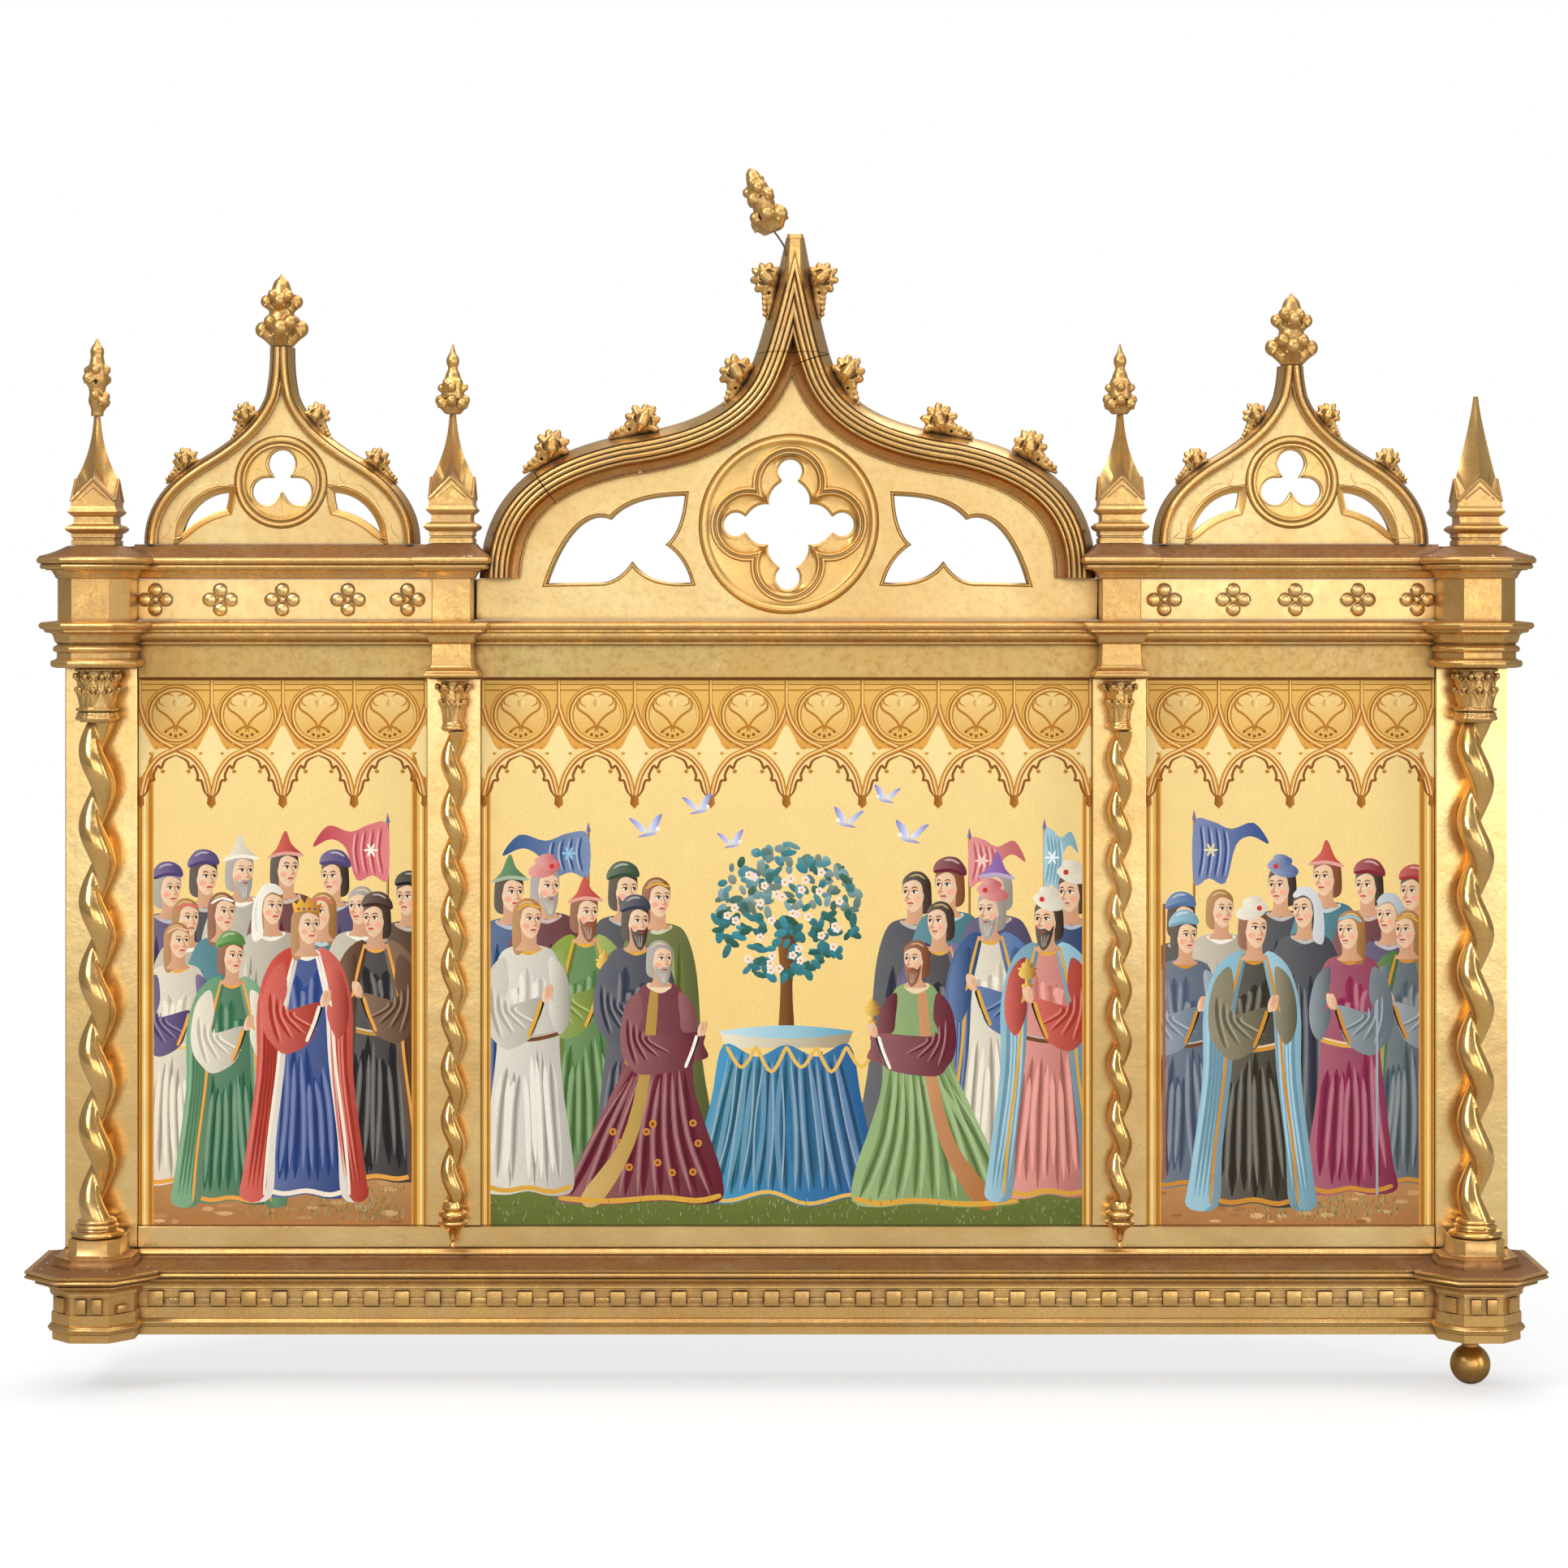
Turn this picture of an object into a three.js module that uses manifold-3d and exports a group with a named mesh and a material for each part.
// A carved and gilded wooden triptych altarpiece with three painted porcelain plaques.
// Millimetres, +Z up, the front faces -Y. The front face of the picture frame is the plane FACE.
// The left ball foot and the right outer finial are lost, and the middle finial hangs by a wire.
import * as THREE from "three";
import { mergeVertices } from "three/addons/utils/BufferGeometryUtils.js";
import Module from "manifold-3d";

const wasm = await Module();
wasm.setup();

// ---------------------------------------------------------------- driving dimensions
const GAP = 0.3; // between neighbouring pieces
const FACE = 12.75; // y of the frame's face, which centres the depth on y = 0

// Places across the front.
const COLUMN_X = 455; // outer columns, corner blocks and outer pinnacles
const INNER_X = 220.5; // inner columns, inner blocks and inner pinnacles
const CASE_HALF = 480; // half the width of the frame
const WING_OUTER = 432; // outer and inner edges of the wing pictures
const WING_INNER = 239.5;
const CENTRE_HALF = 203.5; // half the width of the middle picture
const SIDE_GABLE_X = 337;

// Heights.
const BASE_Z = 36.2; // underside of the base, with the ball foot below it
const BASE_TOP = 90.2;
const PLINTH_TOP = 101.3;
const PICTURE_Z = [104.6, 469.6];
const ARCHITRAVE_Z = [491.5, 507.8];
const FRIEZE_Z = [508.1, 535.2];
const CORNICE_TOP = 558.5;

// Depths behind (+) and in front of (-) the face.
const FRAME_DEEP = 14;
const BACK = 24; // back of the case
const BASE_BACK = 38; // the base is deeper than the case
const COLUMN_OUT = -18; // axes of the outer and inner columns
const INNER_OUT = -14;
const PLAQUE = [4.3, 10.3];
const GABLE_BOARD = [1, 19];
const SIDE_BOARD = [4, 14];

const FOOT_RADIUS = 14;
const FOOT_NECK = 6;

// ---------------------------------------------------------------- helpers
const altarpiece = new THREE.Group();

const FINISHES = {
  gilt: { color: 0xc9983f, roughness: 0.38, metalness: 0.85 },
  oldGilt: { color: 0xb07c33, roughness: 0.45, metalness: 0.8 },
  board: { color: 0x6b4a2b, roughness: 0.8, metalness: 0 },
  porcelain: { color: 0xd8b25c, roughness: 0.15, metalness: 0 },
  wire: { color: 0x4a3a2a, roughness: 0.5, metalness: 0.9 },
};

function place(name, geometry, finish) {
  geometry.computeVertexNormals();
  const mesh = new THREE.Mesh(geometry, new THREE.MeshStandardMaterial(FINISHES[finish]));
  mesh.name = name;
  mesh.position.y = FACE;
  altarpiece.add(mesh);
}

function toSolid(geometry) {
  const bare = new THREE.BufferGeometry();
  bare.setAttribute("position", geometry.attributes.position.clone());
  if (geometry.index) bare.setIndex(geometry.index.clone());
  const welded = mergeVertices(bare, 1e-4);
  return new wasm.Manifold(
    new wasm.Mesh({
      numProp: 3,
      vertProperties: new Float32Array(welded.attributes.position.array),
      triVerts: new Uint32Array(welded.index.array),
    }),
  );
}

function toGeometry(solid) {
  const { vertProperties, triVerts } = solid.getMesh();
  const geometry = new THREE.BufferGeometry();
  geometry.setAttribute("position", new THREE.BufferAttribute(vertProperties, 3));
  geometry.setIndex(new THREE.BufferAttribute(triVerts, 1));
  return geometry;
}

function joined(geometries) {
  return geometries.map(toSolid).reduce((whole, next) => whole.add(next));
}

function boxBetween([x0, x1], [y0, y1], [z0, z1]) {
  const box = new THREE.BoxGeometry(x1 - x0, y1 - y0, z1 - z0);
  return box.translate((x0 + x1) / 2, (y0 + y1) / 2, (z0 + z1) / 2);
}

// Triangles that fill an outline and turn the same way as it does.
function capFaces(outline) {
  const area = (points) => THREE.ShapeUtils.area(points);
  const faces = THREE.ShapeUtils.triangulateShape(outline, []);
  const same = area(faces[0].map((i) => outline[i])) * area(outline) > 0;
  return same ? faces : faces.map(([a, b, c]) => [a, c, b]);
}

// Closes a stack of rings of the same number of points. The two outlines are the first and the
// last ring laid flat, which shows how to close the ends.
function skin(rings, firstOutline, lastOutline = firstOutline) {
  const count = firstOutline.length;
  const top = (rings.length - 1) * count;
  const index = [];
  for (let i = 0; i < rings.length - 1; i++) {
    for (let j = 0; j < count; j++) {
      const a = i * count + j;
      const b = i * count + ((j + 1) % count);
      index.push(a, b, b + count, a, b + count, a + count);
    }
  }
  for (const [a, b, c] of capFaces(firstOutline)) index.push(a, c, b);
  for (const face of capFaces(lastOutline)) index.push(...face.map((i) => top + i));
  const geometry = new THREE.BufferGeometry();
  const points = rings.flat().flatMap((p) => [p.x, p.y, p.z]);
  geometry.setAttribute("position", new THREE.Float32BufferAttribute(points, 3));
  geometry.setIndex(index);
  return geometry;
}

// A moulding of constant section, given by [y, z] points, run from x0 to x1.
function run(section, x0, x1) {
  const outline = section.map(([y, z]) => new THREE.Vector2(y, z));
  if (THREE.ShapeUtils.isClockWise(outline)) outline.reverse();
  const ring = (x) => outline.map((p) => new THREE.Vector3(x, p.x, p.y));
  return skin([ring(x0), ring(x1)], outline);
}

// A board cut to a shape drawn in x and z, from y0 (front) to y1.
function board(shape, [y0, y1], curveSegments = 8) {
  const plate = new THREE.ExtrudeGeometry(shape, {
    depth: y1 - y0,
    bevelEnabled: false,
    curveSegments,
  });
  return plate.rotateX(Math.PI / 2).translate(0, y1, 0);
}

// A turned or leafy form about a vertical axis. Each level is [z, radius, depth of the lobes].
function turned([x, y], levels, segments, lobes = 0) {
  const ring = ([z, radius, depth = 0]) =>
    Array.from({ length: segments }, (_, i) => {
      const angle = (i / segments) * 2 * Math.PI - Math.PI / 2;
      const r = radius * (1 + depth * Math.cos(lobes * (angle + Math.PI / 2)));
      return new THREE.Vector3(x + r * Math.cos(angle), y + r * Math.sin(angle), z);
    });
  const rings = levels.map(ring);
  const flat = rings[0].map((p) => new THREE.Vector2(p.x, p.y));
  return skin(rings, flat);
}

function knob([x, y, z], [rx, ry, rz], lean) {
  const ball = new THREE.IcosahedronGeometry(1, 0);
  return ball.scale(rx, ry, rz).rotateY(lean).translate(x, y, z);
}

// ---------------------------------------------------------------- corner and inner blocks
// Plan of a corner block: half an octagon in front of the face, square behind it. Only the outer
// side carries the mouldings back; the inner side is a plain wall behind the frame.
function cornerPlan(side, { half, chamfer, back, wall }, grow, clearance = 0) {
  const out = half + grow + clearance;
  const flat = half - chamfer + (grow + clearance) * Math.tan(Math.PI / 8);
  const front = COLUMN_OUT - out;
  const shoulder = front + out - flat;
  const plan = [
    [out, back], [-wall - clearance, back], [-wall - clearance, clearance - GAP],
    [-out, clearance - GAP], [-out, shoulder], [-flat, front], [flat, front], [out, shoulder],
  ].map(([x, y]) => new THREE.Vector2(side * x, y));
  return side > 0 ? plan : plan.reverse();
}

// Plan of a block that stands wholly in front of the face, round a column's axis.
function frontPlan(axis, half, chamfer, grow, clearance = 0) {
  const out = half + grow + clearance;
  const flat = out - chamfer;
  const front = axis - out;
  const back = clearance - GAP;
  return [
    [out, back], [-out, back], [-out, front + chamfer], [-flat, front], [flat, front],
    [out, front + chamfer],
  ].map(([x, y]) => new THREE.Vector2(x, y));
}

// Stacks a plan at levels of [z, how far the moulding stands out].
function moulded(levels, plan, x) {
  const plans = levels.map(([, out]) => plan(out));
  const rings = levels.map(([z], i) => plans[i].map((p) => new THREE.Vector3(x + p.x, p.y, z)));
  return skin(rings, plans[0], plans[plans.length - 1]);
}

const BASE_LEVELS = [
  [BASE_Z, 0.5], [42.5, 0.5], [43.5, 3], [46.6, 3], [47.6, 1], [54.6, 1], [54.9, 0],
  [65.8, 0], [66.6, 2], [69.5, 3.5], [72.2, 8], [73, 12], [75.6, 13], [76.6, 16.5],
  [79, 18.5], [81.6, 17.5],
];
const PLINTH = { half: 26.5, chamfer: 14, back: BASE_BACK, wall: 23.5 };
const PLINTH_BLOCK = { half: 17, chamfer: 7, low: 87 };
const DENTIL = { wide: 9.7, out: 3.2, high: 10.2, z: 55.3, pitch: 20.3 };

// The dentils of a corner block: one on each of its three front facets.
function cornerDentils(x) {
  const slantReach = (PLINTH.half - PLINTH.chamfer / 2) * Math.SQRT2;
  return [-1, 0, 1].map((side) => {
    const dentil = new THREE.BoxGeometry(DENTIL.wide, 2 * DENTIL.out, DENTIL.high);
    dentil.translate(0, side ? -slantReach : -PLINTH.half, 0);
    dentil.rotateZ((side * Math.PI) / 4);
    return dentil.translate(x, COLUMN_OUT, DENTIL.z + DENTIL.high / 2);
  });
}

function cornerPlinth(side, clearance = 0) {
  const x = side * COLUMN_X;
  const plan = (out) => cornerPlan(side, PLINTH, out, clearance);
  const levels = [
    [BASE_Z - clearance, 0.5], ...BASE_LEVELS.slice(1), [83.4, 1], [87.8, -1],
    [BASE_TOP + clearance, -1],
  ];
  const { half, chamfer, low } = PLINTH_BLOCK;
  const block = moulded(
    [[low, 0], [88.5, 1.5], [91, 1.5], [91.6, 0], [PLINTH_TOP, 0]],
    (out) => frontPlan(COLUMN_OUT, half, chamfer, out, clearance),
    x,
  );
  return joined([moulded(levels, plan, x), block, ...cornerDentils(x)]);
}

// How far the entablature's mouldings stand out, from the roll under the frieze to the roof.
const BLOCK_LEVELS = [
  [492.5, 0], [495.5, 2.5], [499, 6.5], [500.5, 8], [502, 10], [504.5, 11], [507, 10],
  [507.8, 0], [535.5, 0], [538, 2], [541, 7.5], [541.5, 10], [545, 10], [545.4, 12],
  [549.3, 12.5],
];
const CORNER_BLOCK = { half: 23.6, chamfer: 11.4, back: BACK, wall: 20.6 };
const CORNER_BLOCK_Z = [476.8, 557];
const INNER_BLOCK = { half: 12.9, low: 470.2 };

function cornerEntablature(side, clearance = 0) {
  const levels = [
    [CORNER_BLOCK_Z[0] - clearance, 1], [478, 4], [482, 4], [483.1, 0.5], [487, 0.5],
    [487.6, 2.5], [491, 2.5], ...BLOCK_LEVELS, [CORNER_BLOCK_Z[1] + clearance, -6],
  ];
  const plan = (out) => cornerPlan(side, CORNER_BLOCK, out, clearance);
  return moulded(levels, plan, side * COLUMN_X);
}

function innerEntablature(side, clearance = 0) {
  const levels = [
    [INNER_BLOCK.low - clearance, 5], [473.5, 5], [474.5, 4.2], [479.5, 0.5], ...BLOCK_LEVELS,
    [CORNICE_TOP + clearance, 2.2],
  ];
  const plan = (out) => frontPlan(INNER_OUT, INNER_BLOCK.half, 0.5, out, clearance);
  return moulded(levels, plan, side * INNER_X);
}

const blockCutters = [-1, 1].flatMap((side) => [
  toSolid(cornerEntablature(side, GAP)),
  toSolid(innerEntablature(side, GAP)),
]);

function clearOfBlocks(geometry) {
  return blockCutters.reduce((solid, cutter) => solid.subtract(cutter), toSolid(geometry));
}

// ---------------------------------------------------------------- base
const RAIL_FRONT = -16;

function dentilStrip() {
  const { wide, out, high, z, pitch } = DENTIL;
  const count = Math.floor((2 * COLUMN_X) / pitch);
  const start = (-count / 2) * pitch;
  const strip = new THREE.Shape();
  strip.moveTo(start, z - 0.5);
  strip.lineTo(-start, z - 0.5);
  strip.lineTo(-start, z);
  for (let i = count - 1; i >= 0; i--) {
    const centre = start + (i + 0.5) * pitch;
    strip.lineTo(centre + wide / 2, z);
    strip.lineTo(centre + wide / 2, z + high);
    strip.lineTo(centre - wide / 2, z + high);
    strip.lineTo(centre - wide / 2, z);
  }
  strip.lineTo(start, z);
  return board(strip, [RAIL_FRONT - out, RAIL_FRONT + 1]);
}

function baseRail() {
  const section = [
    ...BASE_LEVELS.map(([z, out]) => [RAIL_FRONT - out, z]),
    [-4.5, 85.2], [-4.5, 89.4], [-3, BASE_TOP], [BASE_BACK, BASE_TOP], [BASE_BACK, BASE_Z],
  ];
  const rail = joined([run(section, -COLUMN_X, COLUMN_X), dentilStrip()]);
  const ends = [-1, 1].map((side) => {
    const past = boxBetween([0, 40], [-60, 60], [0, 120]).translate(side > 0 ? 0 : -40, 0, 0);
    return cornerPlinth(side, GAP).add(toSolid(past.translate(side * (COLUMN_X - 10), 0, 0)));
  });
  return ends.reduce((solid, end) => solid.subtract(end), rail);
}

function ballFoot() {
  const steps = 8;
  const levels = Array.from({ length: steps - 1 }, (_, i) => {
    const angle = ((i + 1) / steps) * Math.PI;
    return [FOOT_RADIUS * (1 - Math.cos(angle)), FOOT_RADIUS * Math.sin(angle)];
  });
  const neck = [[28.5, 5], [30, 6.5], [33, 6.5], [BASE_Z - GAP, FOOT_NECK]];
  return turned([COLUMN_X, 0], [[0, 2.5], ...levels, ...neck], 10);
}

// ---------------------------------------------------------------- frame and pictures
const ordered = (a, b) => [Math.min(a, b), Math.max(a, b)];
const words = { [-1]: "left", 1: "right" };

function frame() {
  const deep = [0, FRAME_DEEP];
  const width = [-WING_OUTER + GAP, WING_OUTER - GAP];
  place("bottom_rail", boxBetween(width, deep, [BASE_TOP + GAP, PICTURE_Z[0]]), "gilt");
  place("top_rail", boxBetween(width, deep, [PICTURE_Z[1], FRIEZE_Z[0] - GAP]), "gilt");
  const stileZ = [BASE_TOP + GAP, CORNER_BLOCK_Z[0] - GAP];
  const uprightZ = [PICTURE_Z[0] + GAP, PICTURE_Z[1] - GAP];
  for (const side of [-1, 1]) {
    const stileX = ordered(side * WING_OUTER, side * CASE_HALF);
    place(`stile_${words[side]}`, boxBetween(stileX, deep, stileZ), "gilt");
    const mullionX = ordered(side * CENTRE_HALF, side * WING_INNER);
    place(`mullion_${words[side]}`, boxBetween(mullionX, deep, uprightZ), "gilt");
  }
  const caseX = [-CASE_HALF, CASE_HALF];
  place("back_board", boxBetween(caseX, [FRAME_DEEP + GAP, BACK], stileZ), "board");
}

function plaques() {
  const z = [PICTURE_Z[0] + GAP, PICTURE_Z[1] - GAP];
  const widths = {
    plaque_left: [-WING_OUTER + GAP, -WING_INNER - GAP],
    plaque_centre: [-CENTRE_HALF + GAP, CENTRE_HALF - GAP],
    plaque_right: [WING_INNER + GAP, WING_OUTER - GAP],
  };
  for (const [name, x] of Object.entries(widths)) place(name, boxBetween(x, PLAQUE, z), "porcelain");
}

// ---------------------------------------------------------------- entablature
const ARCHITRAVE = [
  [-GAP, 491.5], [-3, 491.5], [-3, 493.8], [-4.5, 496], [-8, 499.2], [-10.5, 500.6],
  [-10.5, 501.6], [-13, 503], [-13.4, 505], [-12.4, 507], [-10.5, 507.8], [-GAP, 507.8],
];
const CORNICE = [
  [-1, 535.5], [-2, 536.2], [-3.5, 538.6], [-8, 541], [-8, 541.6], [-11, 541.6], [-11.5, 543.2],
  [-11, 545], [-13, 545.4], [-13.5, 547.4], [-13, 549.3], [2, CORNICE_TOP], [BACK, CORNICE_TOP],
  [BACK, 535.5],
];
const BOSS = { reach: 11.2, z: 521.6, levels: [[-0.6, 1], [-2.4, 0.92], [-3.6, 0.55]] };
const BOSS_X = [-419.6, -376.5, -335.3, -291.6, -252, 251.3, 297.2, 338.5, 380, 419.6];

// A quatrefoil boss of four rounded lobes, rising from just inside the frieze.
function boss(x) {
  const radii = [1, 0.84, 0.46, 0.84].map((share) => share * BOSS.reach);
  const ring = ([y, share]) =>
    Array.from({ length: 16 }, (_, i) => {
      const angle = (i * Math.PI) / 8;
      const r = radii[i % 4] * share;
      return new THREE.Vector3(x + r * Math.cos(angle), y, BOSS.z + r * Math.sin(angle));
    });
  const rings = BOSS.levels.map(ring);
  const flat = rings[0].map((p) => new THREE.Vector2(p.x, p.z));
  return toSolid(upright(skin(rings, flat)));
}

function entablature() {
  const spans = {
    left: [-COLUMN_X + CORNER_BLOCK.wall + GAP, -INNER_X + INNER_BLOCK.half],
    centre: [-INNER_X, INNER_X],
    right: [INNER_X - INNER_BLOCK.half, COLUMN_X - CORNER_BLOCK.wall - GAP],
  };
  for (const [word, [x0, x1]] of Object.entries(spans)) {
    const reach = word === "centre" ? [x0, x1] : [x0 - 2, x1 + 2];
    const roll = clearOfBlocks(run(ARCHITRAVE, ...reach));
    place(`architrave_${word}`, toGeometry(largest(roll)), "gilt");
    if (word === "centre") continue;
    const beam = clearOfBlocks(boxBetween([x0, x1], [-1, BACK], FRIEZE_Z));
    const bosses = BOSS_X.filter((x) => x > x0 && x < x1).map(boss);
    place(`frieze_${word}`, toGeometry(bosses.reduce((a, b) => a.add(b), beam)), "gilt");
    place(`cornice_${word}`, toGeometry(largest(clearOfBlocks(run(CORNICE, x0, x1)))), "gilt");
  }
  for (const side of [-1, 1]) {
    const word = words[side];
    place(`corner_plinth_${word}`, toGeometry(cornerPlinth(side)), "gilt");
    place(`corner_entablature_${word}`, cornerEntablature(side), "gilt");
    place(`inner_entablature_${word}`, innerEntablature(side), "gilt");
  }
}

// A run that passes behind a block's mouldings leaves crumbs there, which are dropped.
function largest(solid) {
  return solid.decompose().reduce((a, b) => (a.volume() > b.volume() ? a : b));
}

// ---------------------------------------------------------------- columns
const OUTER_SHAFT = { strand: 7.6, sway: 4.3, pitch: 49.5, z: [113, 440.6], sides: 7, steps: 4 };
const INNER_SHAFT = { strand: 5.6, sway: 2.5, pitch: 34, z: [122, 434.4], sides: 6, steps: 4 };
const RIGHT_MOST_Z = 398.8; // where the twist stands furthest to the right

// A barley twist: a round strand that winds about the axis, turning left, front, right going down.
function barleyTwist([x, y], { strand, sway, pitch, z, sides, steps }) {
  const count = Math.round(((z[1] - z[0]) / pitch) * steps);
  const rings = Array.from({ length: count + 1 }, (_, i) => {
    const height = z[0] + ((z[1] - z[0]) * i) / count;
    const turn = (-2 * Math.PI * (height - RIGHT_MOST_Z)) / pitch;
    return Array.from({ length: sides }, (_, j) => {
      const angle = (j / sides) * 2 * Math.PI;
      const px = x + sway * Math.cos(turn) + strand * Math.cos(angle);
      const py = y + sway * Math.sin(turn) + strand * Math.sin(angle);
      return new THREE.Vector3(px, py, height);
    });
  });
  return skin(rings, rings[0].map((p) => new THREE.Vector2(p.x, p.y)));
}

function columns() {
  for (const side of [-1, 1]) {
    const outer = [side * COLUMN_X, COLUMN_OUT];
    const base = turned(outer, [
      [PLINTH_TOP + GAP, 15.8], [104, 16.8], [106, 15], [107, 13.6], [109, 14.2], [110.5, 12.6],
      [112, 12.8], [114, 11],
    ], 10);
    const column = joined([base, barleyTwist(outer, OUTER_SHAFT)]);
    place(`outer_column_${words[side]}`, toGeometry(column), "gilt");
    place(`outer_capital_${words[side]}`, turned(outer, [
      [440.9, 11.5], [443, 14.2], [445.5, 14.2], [447.5, 12.6], [449.5, 14], [452, 12.5],
      [459, 12.6, 0.08], [464, 14.2, 0.12], [468, 13.4, 0.1], [472, 16, 0.1],
      [CORNER_BLOCK_Z[0] - GAP, 16.5, 0.04],
    ], 12, 6), "gilt");

    const inner = [side * INNER_X, INNER_OUT];
    const pendant = turned(inner, [
      [92.4, 0.8], [95, 2.2], [96.6, 1.3], [102, 4], [107.5, 7.4], [109, 9.2], [111, 9.2],
      [112, 7.2], [114.5, 8.8], [117, 8.8], [118, 6.8], [122, 7.6], [124, 6.4],
    ], 8);
    const innerColumn = joined([pendant, barleyTwist(inner, INNER_SHAFT)]);
    place(`inner_column_${words[side]}`, toGeometry(innerColumn), "gilt");
    place(`inner_capital_${words[side]}`, turned(inner, [
      [434.7, 6.6], [436, 7.8], [438.2, 7.8], [439, 6.8], [446, 7.2, 0.08], [452, 9, 0.16],
      [456, 8.4, 0.1], [460, 11.8, 0.14], [463.5, 12.3, 0.1], [464.5, 12.4],
      [INNER_BLOCK.low - GAP, 12.6],
    ], 8, 4), "gilt");
  }
}

// ---------------------------------------------------------------- gables
// Half of a gable's outer edge, from its left foot up to the axis, as Bezier spans. The mouldings
// are swept along it, and "in" is measured from this edge towards the middle of the gable.
const MAIN_EDGE = [
  [[-206.2, 536], [-206.2, 600], [-160, 622], [-112, 632]],
  [[-112, 632], [-75, 637], [-37, 648], [-27, 680]],
  [[-27, 680], [-22, 692], [-14, 725], [-6, 764]],
];
const SIDE_EDGE = [
  [[-92, 558.8], [-92, 590], [-70, 606], [-52, 617]],
  [[-52, 617], [-30, 630], [-17, 642], [-11, 658]],
  [[-11, 658], [-8.8, 668], [-8, 676], [-8, 690]],
];

// Sections as [in, y] points.
const MAIN_HOOD = [
  [0, 22], [0, 13], [8.6, -9], [10.4, -13.4], [14, -13.4], [15.2, -10.6], [17, -12.4],
  [20, -11.4], [22.4, -5.4], [28.6, -1], [28.6, 0.7], [8.7, 0.7], [8.7, 22],
];
const SIDE_HOOD = [
  [0, 16], [0, 9], [3.6, 0.5], [4.8, -1.4], [8.6, -1.2], [9.8, 0.8], [9.8, 3.7], [3.7, 3.7],
  [3.7, 16],
];

function edgePoints(edge, steps) {
  return edge.flatMap((span, i) => {
    const curve = new THREE.CubicBezierCurve(...span.map(([x, z]) => new THREE.Vector2(x, z)));
    const last = i === edge.length - 1;
    return Array.from({ length: steps + (last ? 1 : 0) }, (_, j) => {
      const at = curve.getPoint(j / steps);
      const along = curve.getTangent(j / steps);
      return { x: at.x, z: at.y, inX: along.y, inZ: -along.x };
    });
  });
}

function sweep(edge, section, steps) {
  const outline = section.map(([n, y]) => new THREE.Vector2(n, y));
  if (!THREE.ShapeUtils.isClockWise(outline)) outline.reverse();
  const rings = edgePoints(edge, steps).map(({ x, z, inX, inZ }) =>
    outline.map((p) => new THREE.Vector3(x + inX * p.x, p.y, z + inZ * p.x)),
  );
  const half = toSolid(upright(skin(rings, outline)));
  return half.intersect(toSolid(boxBetween([-400, 0], [-60, 60], [400, 900])));
}

// Turns a mesh that came out inside out the right way round.
function upright(geometry) {
  const at = geometry.attributes.position;
  const [a, b, c] = [0, 1, 2].map(() => new THREE.Vector3());
  let volume = 0;
  for (let i = 0; i < geometry.index.count; i += 3) {
    [a, b, c].forEach((v, k) => v.fromBufferAttribute(at, geometry.index.getX(i + k)));
    volume += a.dot(b.cross(c));
  }
  if (volume < 0) geometry.setIndex(Array.from(geometry.index.array).reverse());
  return geometry;
}

// The outline of a gable's board, which lies a little inside the edge, with its foot.
function gableShape(edge, inset, steps, foot) {
  const side = edgePoints(edge, steps)
    .map(({ x, z, inX, inZ }) => [x + inX * inset, z + inZ * inset])
    .filter(([x]) => x < -0.4);
  side[0][1] = foot.length ? foot[foot.length - 1][1] : side[0][1];
  const left = [...foot, ...side];
  const apexZ = left[left.length - 1][1] + 2;
  const points = [...left, [0, apexZ], ...left.map(([x, z]) => [-x, z]).reverse()];
  return new THREE.Shape(points.map(([x, z]) => new THREE.Vector2(x, z)));
}

// A leafy knob on a hood's edge, curling outward, with its stalk trailing down the edge.
function crocket(edge, height, size) {
  const points = edgePoints(edge, 24);
  const { x, z, inX, inZ } = points.find((p) => p.z >= height);
  const lean = Math.atan2(inX, -inZ);
  const at = (out, along) => [x - inX * out + inZ * along, 0, z - inZ * out - inX * along];
  const head = knob(at(0.3 * size, 0), [size, size, 0.9 * size], lean);
  const stalk = knob(at(-0.1 * size, 1.1 * size), [1.2 * size, 0.7 * size, 0.5 * size], lean);
  return [head, stalk];
}

const mirrored = (solid) => solid.mirror([1, 0, 0]);

// ---------------------------------------------------------------- middle gable
const LEAN = 0.0224; // the middle gable leans to the right by this much for each mm of height
const LEAN_FROM = 500;
const CREST_Z = 686; // above this the two hoods are carved in one piece, the crest
const STUB = { half: 5.3, y: [-10, 12], z: [700, 764.2] };
const ROUNDEL = { z: 572, ring: [53.5, 58.8], out: 1.8, foil: 22.8, foilAt: 27.3, sink: 6 };

function leaned(solid) {
  return solid.warp((v) => {
    v[0] += LEAN * (v[2] - LEAN_FROM);
  });
}

// An opening of lobes: round foils joined where they meet.
function foils(count, reach, radius, start) {
  const shape = new THREE.Shape();
  const half = Math.PI / count;
  const open = Math.acos((reach * Math.sin(half) * Math.sin(half) - meet(reach, radius, half)) / radius);
  for (let i = 0; i < count; i++) {
    const turn = start + 2 * half * i;
    shape.absarc(reach * Math.cos(turn), reach * Math.sin(turn), radius, turn - open, turn + open);
  }
  shape.closePath();
  return shape;
}

// How far along the ray between two foils they cross, seen from a foil's own axis.
function meet(reach, radius, half) {
  const across = reach * Math.sin(half);
  return Math.sqrt(radius * radius - across * across) * -Math.cos(half);
}

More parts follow.
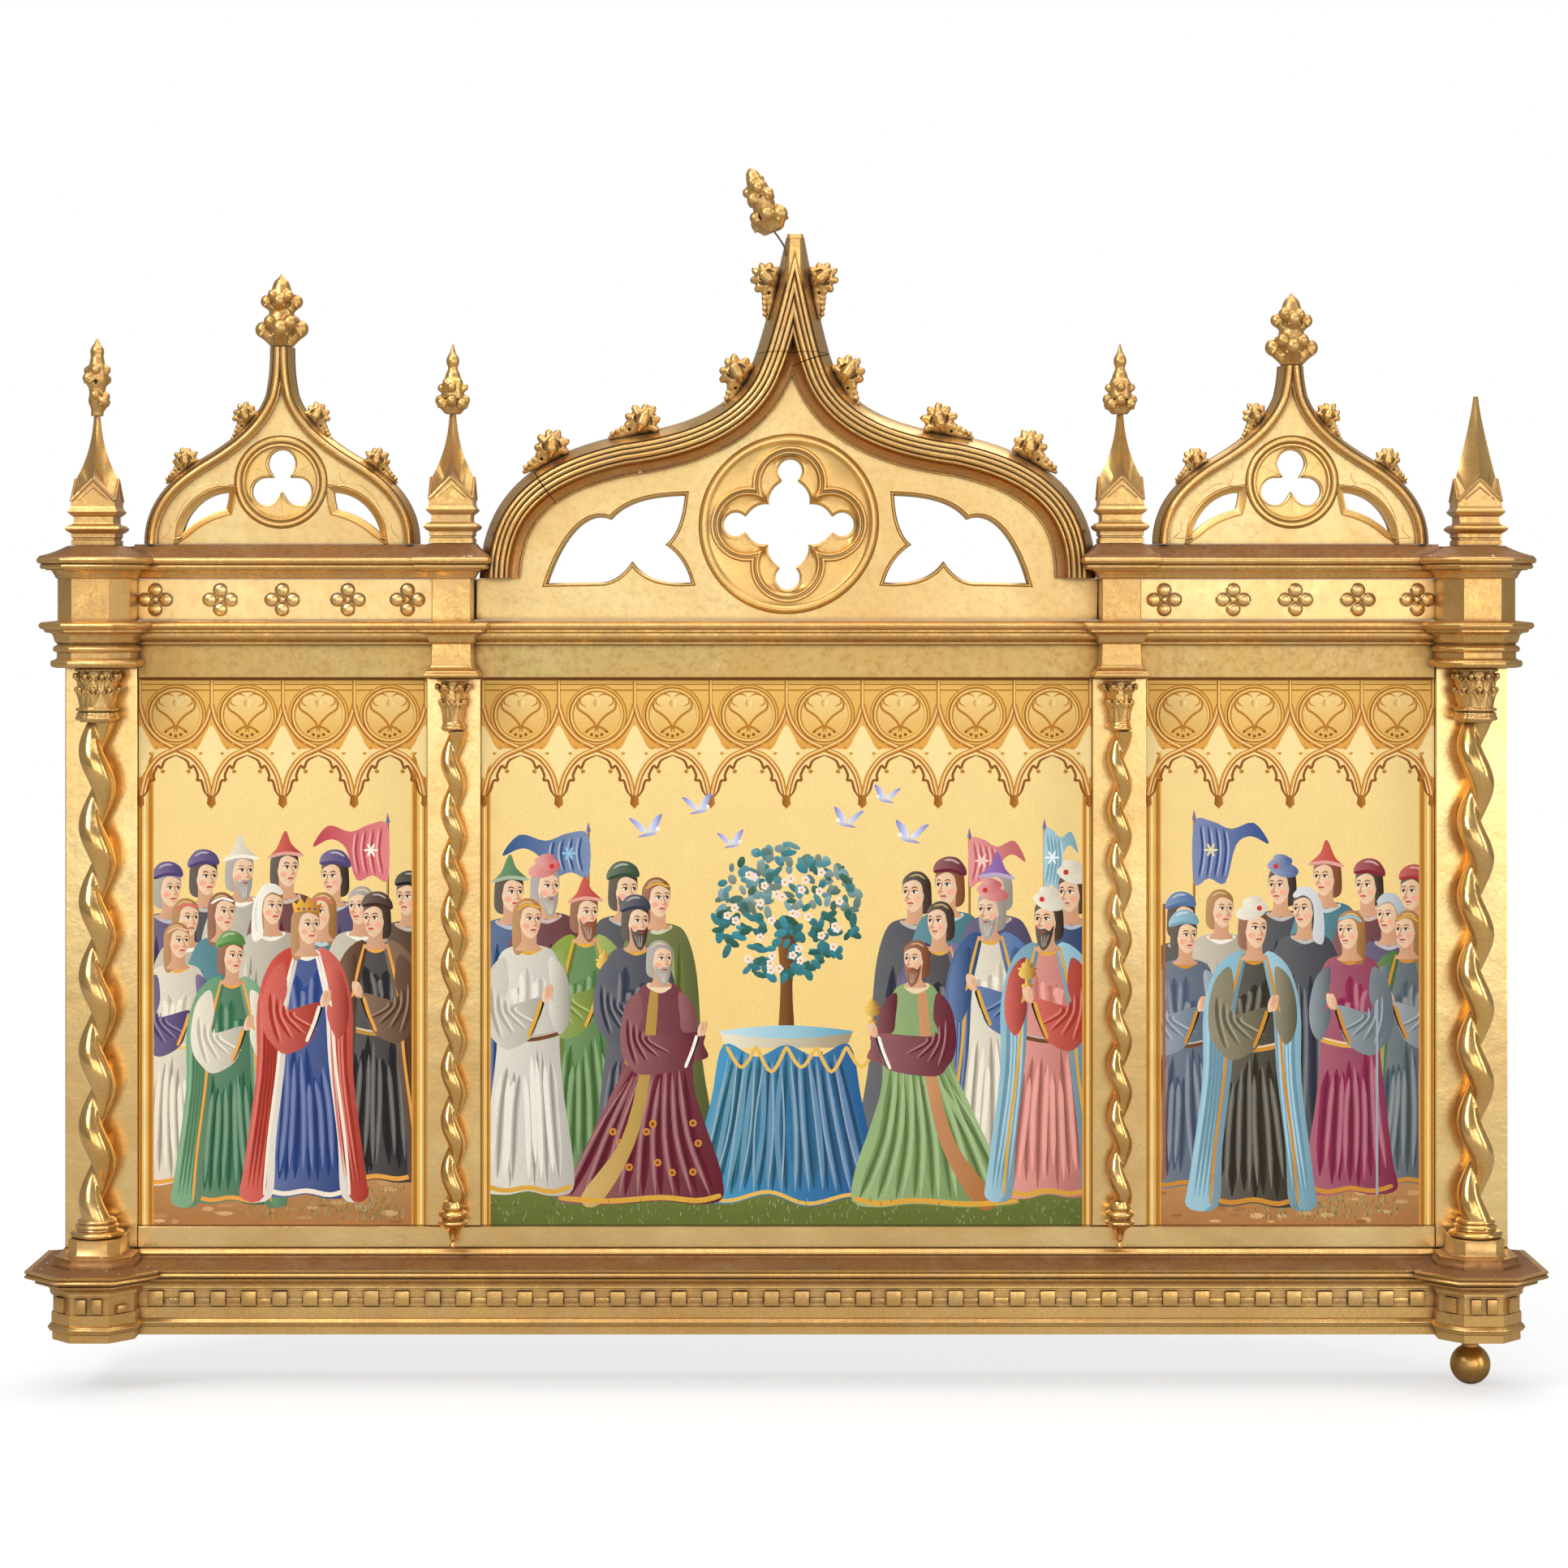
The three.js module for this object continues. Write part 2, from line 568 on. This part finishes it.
// The pierced cross of the roundel: four arms, each ending in a small round lobe.
function crossPath() {
  const path = new THREE.Path();
  const cusp = 13.5;
  const neck = [28.3, 5.8];
  const lobe = { at: 35.6, radius: 8 };
  const open = Math.PI - Math.atan2(neck[1], lobe.at - neck[0]);
  const spin = (turn, x, y) => {
    const c = Math.round(Math.cos(turn));
    const s = Math.round(Math.sin(turn));
    return [x * c - y * s, x * s + y * c];
  };
  for (let arm = 0; arm < 4; arm++) {
    const turn = (arm * Math.PI) / 2;
    const start = spin(turn, cusp, -cusp);
    if (arm === 0) path.moveTo(...start);
    path.quadraticCurveTo(...spin(turn, 23, -14.5), ...spin(turn, neck[0], -neck[1]));
    path.absarc(...spin(turn, lobe.at, 0), lobe.radius, turn - open, turn + open);
    path.lineTo(...spin(turn, neck[0], neck[1]));
    path.quadraticCurveTo(...spin(turn, 23, 14.5), ...spin(turn, cusp, cusp));
  }
  return path;
}

// The pierced panel beside the roundel, drawn for the left side.
function sideOpening() {
  const path = new THREE.Path();
  path.moveTo(-160, 532.6);
  path.bezierCurveTo(-152, 560, -136, 583, -118.8, 575);
  path.bezierCurveTo(-108, 588, -90, 590.5, -69.8, 591.2);
  path.quadraticCurveTo(-71.5, 566, -82.2, 558.2);
  path.quadraticCurveTo(-69, 550, -64.4, 533.2);
  path.quadraticCurveTo(-93, 531, -103.8, 547.2);
  path.quadraticCurveTo(-112, 534, -124, 533.2);
  path.closePath();
  return path;
}

function ringMoulding(x, z, [inner, outer], face, out) {
  const section = [[inner, 0.4], [inner, -out], [outer, -out], [outer, 0.4], [inner, 0.4]];
  const ring = new THREE.LatheGeometry(section.map(([r, y]) => new THREE.Vector2(r, -y)), 20);
  return toSolid(upright(indexed(ring.rotateX(Math.PI).translate(x, face, z))));
}

function indexed(geometry) {
  const bare = new THREE.BufferGeometry();
  bare.setAttribute("position", geometry.attributes.position.clone());
  bare.setIndex(geometry.index);
  return mergeVertices(bare, 1e-4);
}

const MAIN_STEPS = 4;
const MAIN_FOOT = [[-206.5, FRIEZE_Z[0]], [-206.5, 535.7]];

function mainBoard() {
  const slab = toSolid(board(gableShape(MAIN_EDGE, 9, MAIN_STEPS, MAIN_FOOT), GABLE_BOARD));
  const through = [GABLE_BOARD[0] - 5, GABLE_BOARD[1] + 5];
  const panel = toSolid(board(new THREE.Shape(sideOpening().getPoints(3)), through));
  const sunk = [GABLE_BOARD[0] - 5, GABLE_BOARD[0] + ROUNDEL.sink];
  const lobes = foils(4, ROUNDEL.foilAt, ROUNDEL.foil, 0);
  const recess = toSolid(board(lobes, sunk, 5).translate(0, 0, ROUNDEL.z));
  const cross = new THREE.Shape(crossPath().getPoints(3));
  const hole = toSolid(board(cross, through).translate(0, 0, ROUNDEL.z));
  const ring = ringMoulding(0, ROUNDEL.z, ROUNDEL.ring, GABLE_BOARD[0], ROUNDEL.out);
  return slab.add(ring).subtract(panel).subtract(mirrored(panel)).subtract(recess).subtract(hole);
}

function mainGable() {
  const rebate = toSolid(board(gableShape(MAIN_EDGE, 8.7, MAIN_STEPS, MAIN_FOOT), [0.7, 30]));
  const half = sweep(MAIN_EDGE, MAIN_HOOD, MAIN_STEPS);
  const below = toSolid(boxBetween([-400, -GAP / 2], [-60, 60], [400, CREST_Z - GAP]));
  const above = toSolid(boxBetween([-400, 0], [-60, 60], [CREST_Z, 900]));
  const knobs = joined([616, 634, 667].flatMap((z) => crocket(MAIN_EDGE, z, 10.5)));
  const hood = half.intersect(below).add(knobs.subtract(rebate));
  const sides = { left: hood, right: mirrored(hood) };
  for (const [word, solid] of Object.entries(sides)) {
    const clear = leaned(solid).subtract(blockCutters[1]).subtract(blockCutters[3]);
    place(`hood_${word}`, toGeometry(largest(clear)), "gilt");
  }
  const topKnob = joined(crocket(MAIN_EDGE, 731, 10)).subtract(rebate);
  const crestHalf = half.intersect(above).add(topKnob);
  const stub = boxBetween([-STUB.half, STUB.half], STUB.y, STUB.z);
  const crest = crestHalf.add(mirrored(crestHalf)).add(toSolid(stub));
  place("gable_crest", toGeometry(leaned(crest)), "gilt");
  const past = toSolid(boxBetween([-40, 40], [-60, 60], [STUB.z[0] - GAP, 900]));
  place("gable_board", toGeometry(leaned(mainBoard().subtract(past))), "gilt");
}

// ---------------------------------------------------------------- side gables
const SIDE_ROUNDEL = { z: 600, ring: [26, 30.2], out: 1.5, sink: 3.5 };
const SIDE_STEPS = 3;
const TREFOIL = { reach: 12.4, radius: 9.1, open: 2.2, cusp: 6.2 };

// Three round lobes, upright, joined by cusps.
function trefoil() {
  const path = new THREE.Path();
  for (let i = 0; i < 3; i++) {
    const turn = Math.PI / 2 + (i * 2 * Math.PI) / 3;
    const { reach, radius, open, cusp } = TREFOIL;
    path.absarc(reach * Math.cos(turn), reach * Math.sin(turn), radius, turn - open, turn + open);
    const between = turn + Math.PI / 3;
    path.lineTo(cusp * Math.cos(between), cusp * Math.sin(between));
  }
  return new THREE.Shape(path.getPoints(4));
}

function sideSlit() {
  const slit = new THREE.Shape();
  slit.moveTo(-66, 566);
  slit.bezierCurveTo(-62, 582, -50, 592.5, -35, 593);
  slit.lineTo(-37, 582);
  slit.quadraticCurveTo(-54, 578, -66, 566);
  return new THREE.Shape(slit.getPoints(4));
}

function sideGable(side, hoodTop) {
  const word = words[side];
  const x = side * SIDE_GABLE_X;
  const through = [SIDE_BOARD[0] - 5, SIDE_BOARD[1] + 5];
  const slab = toSolid(board(gableShape(SIDE_EDGE, 4, SIDE_STEPS, []), SIDE_BOARD));
  const sunk = roundSinking(SIDE_ROUNDEL.ring[0], [SIDE_BOARD[0] - 5, SIDE_BOARD[0] + SIDE_ROUNDEL.sink]);
  const hole = board(trefoil(), through).translate(0, 0, SIDE_ROUNDEL.z);
  const slit = toSolid(board(sideSlit(), through));
  const ring = ringMoulding(0, SIDE_ROUNDEL.z, SIDE_ROUNDEL.ring, SIDE_BOARD[0], SIDE_ROUNDEL.out);
  const under = toSolid(boxBetween([-100, 100], [-60, 60], [hoodTop, 900]));
  const plate = slab.add(ring).subtract(sunk).subtract(toSolid(hole)).subtract(slit)
    .subtract(mirrored(slit)).subtract(under);
  place(`side_gable_board_${word}`, toGeometry(plate.translate([x, 0, 0])), "gilt");

  const rebate = toSolid(board(gableShape(SIDE_EDGE, 3.7, SIDE_STEPS, []), [3.7, 30]));
  const half = sweep(SIDE_EDGE, SIDE_HOOD, SIDE_STEPS);
  const knobs = joined([610, 641].flatMap((z) => crocket(SIDE_EDGE, z, 8.5)));
  const oneSide = half.add(knobs.translate([0, 7, 0]).subtract(rebate));
  const hood = oneSide.add(mirrored(oneSide)).subtract(under);
  place(`side_hood_${word}`, toGeometry(hood.translate([x, 0, 0])), "gilt");
  place(`side_finial_${word}`, turned([x, 7], SIDE_FINIAL.map(([z, ...rest]) =>
    [hoodTop + GAP + z, ...rest]), 8, 4), "gilt");
}

function roundSinking(radius, [y0, y1]) {
  const disc = new THREE.CylinderGeometry(radius, radius, y1 - y0, 20);
  return toSolid(disc.translate(0, (y0 + y1) / 2, 0).translate(0, 0, SIDE_ROUNDEL.z));
}

// ---------------------------------------------------------------- pinnacles and finials
// Levels of [height above the foot, radius, depth of the leaves].
const SIDE_FINIAL = [
  [0, 6.5], [5, 9], [9, 16.5, 0.15], [13, 18, 0.15], [18, 11, 0.1], [24, 12], [29, 14, 0.12],
  [34, 13.5, 0.12], [39, 7], [43, 4.5], [48.4, 1],
];
const BUD_FINIAL = [
  [0, 4.4], [3, 6.5], [6, 11, 0.15], [9.5, 11.4, 0.15], [12.5, 8.5, 0.1], [17, 10.2, 0.12],
  [21, 9.4, 0.1], [26, 4.8], [31, 3.2], [33, 4.6], [36, 4.3], [38, 2.6], [46.6, 0.7],
];
const WORN_FINIAL = [
  [0, 4.4], [4, 6], [9, 9.5, 0.15], [13, 9], [17, 5.5], [21, 7.6], [25, 8.8, 0.15], [29, 6],
  [35, 4.3], [44, 3.6], [49, 2.4], [51.4, 0.8],
];
const BROKEN_FINIAL = [
  [0, 3], [3, 6], [8, 12, 0.22], [12, 12, 0.22], [16, 8], [23, 9.2, 0.2], [29, 8.8, 0.2],
  [34, 5], [40, 4], [45, 2],
];
const PINNACLE_BASE = [
  [0, 14.3], [7.5, 14.3], [8.3, 17], [13.5, 17], [14.3, 13.2], [19.3, 13.2], [20.2, 15.6],
  [25.5, 15.6], [26, 14.5],
];
const GABLET = { half: 14.5, eaves: 29, apex: 44.5 };
const SPIRE = [[46.5, 12.6], [60, 8.8], [72, 6.6], [85.2, 5]];
const BARE_SPIRE_TIP = [98.4, 2.2];

// A square pinnacle: moulded base, a gablet on each face, and a spire set cornerwise.
function pinnacle([x, y], foot, extra = []) {
  const ring = (corner, cornerZ, middle, middleZ) =>
    Array.from({ length: 8 }, (_, i) => {
      const angle = (i * Math.PI) / 4;
      const [reach, z] = i % 2 ? [corner * Math.SQRT2, cornerZ] : [middle, middleZ];
      return new THREE.Vector3(x + reach * Math.cos(angle), y + reach * Math.sin(angle), foot + z);
    });
  const { half, eaves, apex } = GABLET;
  const rings = [
    ...PINNACLE_BASE.map(([z, h]) => ring(h, z, h, z)),
    ring(half, eaves, half, apex),
    ring(half * 0.62, apex - 4, SPIRE[0][1], SPIRE[0][0]),
    ...[...SPIRE.slice(1), ...extra].map(([z, r]) => ring(0.52 * r, z, r, z)),
  ];
  const flat = (points) => points.map((p) => new THREE.Vector2(p.x, p.y));
  return skin(rings, flat(rings[0]), flat(rings[rings.length - 1]));
}

function pinnacles() {
  const spireTop = SPIRE[SPIRE.length - 1][0] + GAP;
  const onCorner = CORNER_BLOCK_Z[1] + GAP;
  const onInner = CORNICE_TOP + GAP;
  const rows = [
    ["outer_left", [-COLUMN_X, COLUMN_OUT], onCorner, WORN_FINIAL],
    ["inner_left", [-INNER_X, INNER_OUT - 1], onInner, BUD_FINIAL],
    ["inner_right", [INNER_X, INNER_OUT - 1], onInner, BUD_FINIAL],
    ["outer_right", [COLUMN_X, COLUMN_OUT], onCorner, null],
  ];
  for (const [word, at, foot, finial] of rows) {
    const extra = finial ? [] : [BARE_SPIRE_TIP];
    place(`pinnacle_${word}`, pinnacle(at, foot, extra), "gilt");
    if (!finial) continue;
    const levels = finial.map(([z, ...rest]) => [foot + spireTop + z, ...rest]);
    place(`pinnacle_finial_${word}`, turned(at, levels, 8, 4), "gilt");
  }
}

const BROKEN_AT = [-8.6, 1, 767.4]; // foot of the hanging finial
const BROKEN_LEAN = THREE.MathUtils.degToRad(-20.5);
const WIRE_POINTS = [[-0.6, 1, 750.5], [-1.2, 1, 756], [-4.4, 1, 761.5], [-8.1, 1, 766.6]];
const WIRE_RADIUS = 0.7;

function brokenFinial() {
  const bud = turned([0, 0], BROKEN_FINIAL, 8, 4).rotateY(BROKEN_LEAN);
  place("broken_finial", bud.translate(...BROKEN_AT), "gilt");
  const path = new THREE.CatmullRomCurve3(WIRE_POINTS.map((p) => new THREE.Vector3(...p)));
  const section = new THREE.Shape();
  section.absarc(0, 0, WIRE_RADIUS, 0, 2 * Math.PI);
  const wire = new THREE.ExtrudeGeometry(section, { extrudePath: path, steps: 8, curveSegments: 3 });
  place("finial_wire", wire, "wire");
}

// ---------------------------------------------------------------- the whole
place("base_rail", toGeometry(baseRail()), "gilt");
place("ball_foot", ballFoot(), "gilt");
frame();
plaques();
entablature();
columns();
mainGable();
sideGable(-1, 690);
sideGable(1, 677.5);
pinnacles();
brokenFinial();

export default altarpiece;
